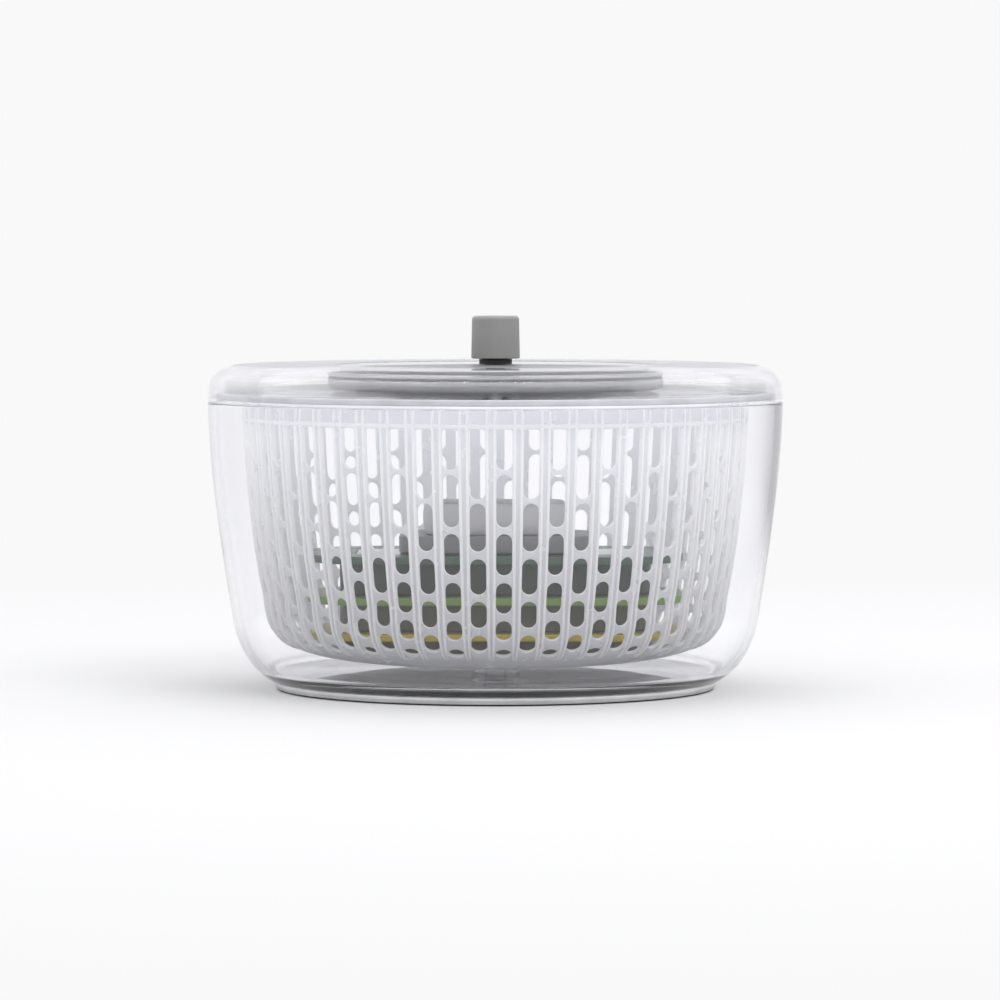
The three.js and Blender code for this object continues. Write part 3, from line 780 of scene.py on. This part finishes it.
def make_frame(name, node, body, rim_material, body_painted_shade):
    """A cutting attachment: an oval rim with a recess for its steel insert, over a narrower body, whose
    duller colour is painted shade.
    """
    _, bottom, top = size_of(node)
    under, ledge = top - RIM_T, top - LEDGE_DEPTH
    profile = rounded([
        (-BODY_INNER, bottom, 0.5), (-BODY_INSET, bottom, 0.8), (0.2 - BODY_INSET, under - 0.3, 0.8),
        (0, under, 0.6), (0, top, 0.35), (-LEDGE_INSET, top, 0.5), (-LEDGE_INSET, ledge, 0.2),
        (-WINDOW_INSET, ledge, 0.3), (-WINDOW_INSET, under, 0.4), (-BODY_INNER, under, 0.6),
    ], steps=5)
    vertices, faces = swept(rounded_rectangle(*FRAME_OUTLINE), profile)
    piece = make_piece(name, vertices, faces, rim_material, body, [node])
    # Painted shade: the body below the rim gets its duller, darker colour.
    second_material(piece, body_painted_shade, lambda centre: centre.z < (under - 0.2) * MM)


def make_attachments():
    """The three cutting attachments, from the top of the stack down."""
    make_frame("slicer_tray", "slicer_frame", "slicer", GREEN, GREEN_BODY_PAINTED_SHADE)
    make_frame("grater_tray", "grater_frame", "grater", OLIVE, OLIVE_BODY_PAINTED_SHADE)
    make_frame("julienne_tray", "julienne_frame", "julienne_cutter", MUSTARD, MUSTARD_BODY_PAINTED_SHADE)


def make_pusher():
    """The food holder: a flat flange and a grip with bowed sides. The flange's darker grey is painted shade
    under the grip.
    """
    _, low, high = size_of("pusher_base")
    profile = rounded([(-10, low), (0, low, 1.2), (0, high, 0.8), (-10, high)], closed=False, steps=6)
    vertices, faces = swept(rounded_rectangle(*FLANGE_OUTLINE), profile, closed=False)
    make_piece("pusher_flange", vertices, faces, PUSHER_FLANGE_PAINTED_SHADE, "pusher", ["pusher_base"])
    _, low, high = size_of("pusher_grip")
    side = bezier([(-1.6, low), (-0.2, low + 3), (0.4, high - 4), (-0.9, high - 1.2)], 14)
    profile = np.vstack([[(-8, low)], side, [(-1.5, high - 0.4), (-2.6, high), (-8, high)]])
    vertices, faces = swept(rounded_rectangle(*GRIP_OUTLINE), profile, closed=False)
    make_piece("pusher_handle", vertices, faces, PUSHER_GREY, "pusher", ["pusher_grip"])


# ---- Lid ----
LID_T = 2.8
LID_FLAT_R = 104
LID_SEAM_H = 0.6  # height of the straight edge under the shoulder
PLATE_T = 2.4
PLATE_HOLE_R = 6
FLANGE_T = 1.4
HOUSING_FLOOR_R = 64.5
HOUSING_HOLE_R = 5.4
HOUSING_FLOOR_T = 1.2
HOUSING_TAPER = 2.2  # height of the round under the gear housing
HOUSING_WALL = 1.6
GROOVE = (1.4, 2.6)  # the groove round the housing, painted near black as shade, measured down from its top
GROOVE_DEPTH = 0.5


def make_lid():
    """The clear cover: a rounded shoulder, and a flat top with a hole for the crank disc."""
    radius, seam, top = size_of("lid_cover")
    hole = size_of("crank_disc")[0] + 0.6
    shoulder = bezier([(radius, seam + LID_SEAM_H), (radius, 131), (117.5, top), (LID_FLAT_R, top)], 30)
    inner = inset(shoulder, LID_T)
    seam_edge = [inner[0], (radius - LID_T, seam, 0.5), (radius, seam, 0.4), shoulder[0]]
    hole_edge = [shoulder[-1], (hole, top, 0.5), (hole, top - LID_T, 0.4), inner[-1]]
    profile = np.vstack([
        rounded(seam_edge, closed=False)[1:-1], shoulder,
        rounded(hole_edge, closed=False)[1:-1], inner[::-1],
    ])
    dome = turned_piece("lid_dome", profile, LID_CLEAR, "lid", ["lid_cover"],
                        count=ROUND_FINE)
    second_material(dome, LID_TOP_CLEAR, lambda centre: centre.z > (top - 0.4) * MM)


def ring_profile(r_in, r_out, low, high, corner):
    """The section of a flat ring with rounded corners."""
    return rounded([(r, z, corner) for r, z in ((r_in, low), (r_out, low), (r_out, high), (r_in, high))])


def make_lid_plate():
    """The clear dish under the lid, with its flange, and the seal round it."""
    radius, low, flange_top = size_of("lid_bottom_plate")
    high = low + PLATE_T
    profile = rounded([
        (PLATE_HOLE_R, low, 0.4), (radius, low, 0.8), (radius, flange_top, 0.9),
        (radius - FLANGE_T, flange_top, 0.9), (radius - FLANGE_T, high, 0.8), (PLATE_HOLE_R, high, 0.4),
    ])
    plate = turned_piece("lid_plate", profile, PLATE_CLEAR, "lid", ["lid_bottom_plate"],
                         count=ROUND_FINE)
    second_material(plate, FLANGE_CLEAR, lambda centre: centre.z > (high + 0.1) * MM)
    seal_radius, low, high = size_of("lid_seal")
    turned_piece("seal_ring", ring_profile(radius + 0.4, seal_radius, low, high, 0.6), SILICONE, "lid",
                 ["lid_seal"])


def make_gear_case():
    """The grey dish that holds the gears, with a groove round it painted near black as shade, and painted
    light on its shaded underside, which is near white.
    """
    radius, low, high = size_of("gear_housing")
    inner, groove_r = radius - HOUSING_WALL, radius - GROOVE_DEPTH
    groove_top, groove_bottom = high - GROOVE[0], high - GROOVE[1]
    taper_top = low + HOUSING_TAPER
    corner = bezier([(HOUSING_FLOOR_R, low), (radius - 1.5, low), (radius, low + 0.8), (radius, taper_top)],
                    8)
    profile = rounded([
        (HOUSING_HOLE_R, low, 0.3), *corner, (radius, groove_bottom, 0.15), (groove_r, groove_bottom, 0.1),
        (groove_r, groove_top, 0.1), (radius, groove_top, 0.15), (radius, high, 0.3), (inner, high, 0.3),
        (inner, taper_top + 0.2, 0.3), (HOUSING_FLOOR_R - 1, low + HOUSING_FLOOR_T, 0.3),
        (HOUSING_HOLE_R, low + HOUSING_FLOOR_T, 0.2),
    ])
    case = turned_piece("gear_case", profile, HOUSING_GREY, "lid", ["gear_housing"])
    # Painted shade in the groove.
    second_material(case, GROOVE_PAINTED_SHADE, lambda centre: groove_bottom * MM < centre.z < groove_top * MM)
    # Painted light on the shaded underside.
    second_material(case, HOUSING_UNDER_PAINTED_LIGHT, lambda centre: centre.z < (low + 0.7 * HOUSING_TAPER) * MM)


KNOB_BORE_R = 4.4
KNOB_TOP_T = 4.0
DRIVE_T = 1.8
DRIVE_HOLE_R = 5.1


def make_crank():
    """The crank disc and the knob."""
    radius, low, high = size_of("crank_disc")
    profile = rounded([(50, low), (radius, low, 0.4), (radius, high, 0.6), (50, high)], closed=False,
                      steps=5)
    turned_piece("crank_plate", profile, DISC_GREY, "crank", ["crank_disc"], closed=False)
    low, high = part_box("knob")
    centre = ((low.x + high.x) / 2 / MM, (low.y + high.y) / 2 / MM)
    radius = (high.x - low.x) / 2 / MM
    bottom, top = low.z / MM, high.z / MM
    profile = rounded([
        (KNOB_BORE_R, top - KNOB_TOP_T), (KNOB_BORE_R, bottom, 0.2), (radius, bottom, 0.5),
        (radius - 0.35, top, 1.6), (5, top),
    ], closed=False, steps=8)
    turned_piece("crank_knob", profile, KNOB_GREY, "knob", ["knob"], closed=False,
                 count=ROUND // 2, centre=centre)


def make_drive():
    """The milky disc under the lid that turns the basket."""
    radius, _, high = size_of("drive_plate")
    profile = ring_profile(DRIVE_HOLE_R, radius, high - DRIVE_T, high, 0.4)
    turned_piece("drive_disc", profile, MILKY, "drive", ["drive_plate"])


make_bowl()
make_base()
make_basket()
make_attachments()
make_pusher()
make_lid()
make_lid_plate()
make_gear_case()
make_crank()
make_drive()

# ---- CAD nodes that stay as they are, with their finish ----
KEPT = {
    "pivot_pin": PLATE_CLEAR, "basket_bush": PLATE_CLEAR, "knob_post": DARK_PLASTIC_AND_PAINTED_SHADE, "ring_gear": WHITE,
    "sun_pinion": WHITE, "drive_shaft": DISC_GREY, "drive_screw": STEEL, "slicer_blade": STEEL,
    "grater_plate": STEEL, "julienne_blade": STEEL,
    **{f"idler_pin_{i}": STEEL for i in (1, 2, 3)},
    **{f"idler_gear_{i}": WHITE for i in (1, 2, 3)},
    **{f"lid_screw_{i}": SCREW_STEEL for i in (1, 2, 3)},
}


def dress_nodes():
    """Gives the CAD nodes that stay their finish."""
    for name, material in KEPT.items():
        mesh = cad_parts[name].data
        mesh.materials.clear()
        mesh.materials.append(material)


dress_nodes()


# ---- Floor and light ----
PAPER = (0.947, 0.947, 0.947, 1)  # the paper where the camera sees it straight
STUDIO_TINT = (0.975, 0.975, 1.0, 1)
OVERHEAD = 1.3
OVERHEAD_SPAN = (0.04, 0.25)  # sines of the heights between which the walls turn into the ceiling
# Brightness by the cosine of the angle from straight behind the object, carried from -1..1 to 0..1
BACKDROP = [(0.0, 0.95), (0.5, 0.95), (0.75, 0.8), (0.87, 0.55), (0.965, 0.6), (0.99, 0.96), (1.0, 1.02)]
BRIGHT_SIDE = (-1.0, 0.0, 0.0)  # the side wall towards here is white too
BRIGHT_SIDE_LEVEL = 0.97
BRIGHT_SIDE_SPAN = (0.02, 0.2)
FLOOR_HALF = 12
FLOOR_COLOR = (0.64, 0.64, 0.64)
FLOOR_FADE = (0.3, 1.0)  # distances from the object between which the shaded paper turns plain


def towards(tree, direction, axis):
    """The cosine of the angle between a direction and an axis."""
    dot = add_node(tree, "ShaderNodeVectorMath", operation="DOT_PRODUCT")
    dot.inputs[1].default_value = axis
    tree.links.new(direction, dot.inputs[0])
    return dot.outputs["Value"]


def mapped(tree, value, low, high, interpolation="LINEAR"):
    """A value carried from the span low..high to 0..1."""
    span = add_node(tree, "ShaderNodeMapRange", interpolation_type=interpolation, From_Min=low,
                    From_Max=high)
    tree.links.new(value, span.inputs["Value"])
    return span.outputs["Result"]


def blended(tree, factor, start, end_value):
    """From a socket's value to a fixed one as the factor goes from 0 to 1."""
    blend = add_node(tree, "ShaderNodeMix", B=end_value)
    tree.links.new(factor, blend.inputs["Factor"])
    tree.links.new(start, blend.inputs["A"])
    return blend.outputs["Result"]


def studio_level(tree, direction):
    """How bright the studio is in a direction: a white wall behind the object and on one side of it."""
    behind = mapped(tree, towards(tree, direction, (0, 1, 0)), -1, 1)
    walls = add_ramp(tree, behind, [(position, (level, level, level)) for position, level in BACKDROP])
    side = mapped(tree, towards(tree, direction, BRIGHT_SIDE), *BRIGHT_SIDE_SPAN)
    return blended(tree, side, walls, BRIGHT_SIDE_LEVEL)


def make_floor():
    """Pale paper that fades into the studio's light away from the object."""
    corners = [(-FLOOR_HALF, -FLOOR_HALF, 0), (FLOOR_HALF, -FLOOR_HALF, 0),
               (FLOOR_HALF, FLOOR_HALF, 0), (-FLOOR_HALF, FLOOR_HALF, 0)]
    mesh = bpy.data.meshes.new("floor")
    mesh.from_pydata(corners, [], [(0, 1, 2, 3)])
    floor = bpy.data.objects.new("floor", mesh)
    scene.collection.objects.link(floor)
    made = Nodes("floor_paper", FLOOR_COLOR, 0.9)
    made.shader.inputs["Specular IOR Level"].default_value = 0.1
    heading = made.add("ShaderNodeVectorMath", operation="NORMALIZE")
    made.link(made.place, heading.inputs[0])
    seen = made.add("ShaderNodeEmission", Color=PAPER)
    bent = made.add("ShaderNodeEmission", Color=STUDIO_TINT)
    made.link(studio_level(made.tree, heading.outputs["Vector"]), bent.inputs["Strength"])
    path = made.add("ShaderNodeLightPath")
    glow = made.add("ShaderNodeMixShader")
    made.link(path.outputs["Is Camera Ray"], glow.inputs[0])
    made.link(bent.outputs[0], glow.inputs[1])
    made.link(seen.outputs[0], glow.inputs[2])
    length = made.add("ShaderNodeVectorMath", operation="LENGTH")
    made.link(made.place, length.inputs[0])
    mix = made.add("ShaderNodeMixShader")
    made.link(mapped(made.tree, length.outputs["Value"], *FLOOR_FADE, "SMOOTHSTEP"), mix.inputs[0])
    made.link(made.shader.outputs[0], mix.inputs[1])
    made.link(glow.outputs[0], mix.inputs[2])
    made.link(mix.outputs[0], made.output.inputs["Surface"])
    mesh.materials.append(made.material)


def make_world():
    """A white studio. What the camera sees straight is even, and what glass bends to is not."""
    world = bpy.data.worlds.new("studio")
    world.use_nodes = True
    tree = world.node_tree
    link = tree.links.new
    place = add_node(tree, "ShaderNodeTexCoord").outputs["Generated"]
    above = mapped(tree, towards(tree, place, (0, 0, 1)), *OVERHEAD_SPAN)
    background = tree.nodes["Background"]
    background.inputs["Color"].default_value = STUDIO_TINT
    link(blended(tree, above, studio_level(tree, place), OVERHEAD), background.inputs["Strength"])
    paper = add_node(tree, "ShaderNodeBackground", Color=PAPER)
    path = add_node(tree, "ShaderNodeLightPath")
    mix = add_node(tree, "ShaderNodeMixShader")
    link(path.outputs["Is Camera Ray"], mix.inputs["Fac"])
    link(background.outputs[0], mix.inputs[1])
    link(paper.outputs[0], mix.inputs[2])
    link(mix.outputs[0], tree.nodes["World Output"].inputs["Surface"])
    scene.world = world


LIGHT_TARGET = Vector((0, 0, 0.07))


def make_light(name, location, size, power):
    """A soft light of some width and height, turned towards the object."""
    light = bpy.data.lights.new(name, "AREA")
    light.shape = "RECTANGLE"
    light.size, light.size_y = size
    light.energy = power
    lamp = bpy.data.objects.new(name, light)
    lamp.location = location
    lamp.rotation_euler = (LIGHT_TARGET - Vector(location)).to_track_quat("-Z", "Y").to_euler()
    scene.collection.objects.link(lamp)


make_floor()
make_world()
make_light("key", (0.9, -1.1, 1.6), (0.9, 0.9), 9.5)
make_light("top", (0, 0.2, 1.8), (1.2, 1.2), 6)

scene.view_settings.view_transform = "Standard"
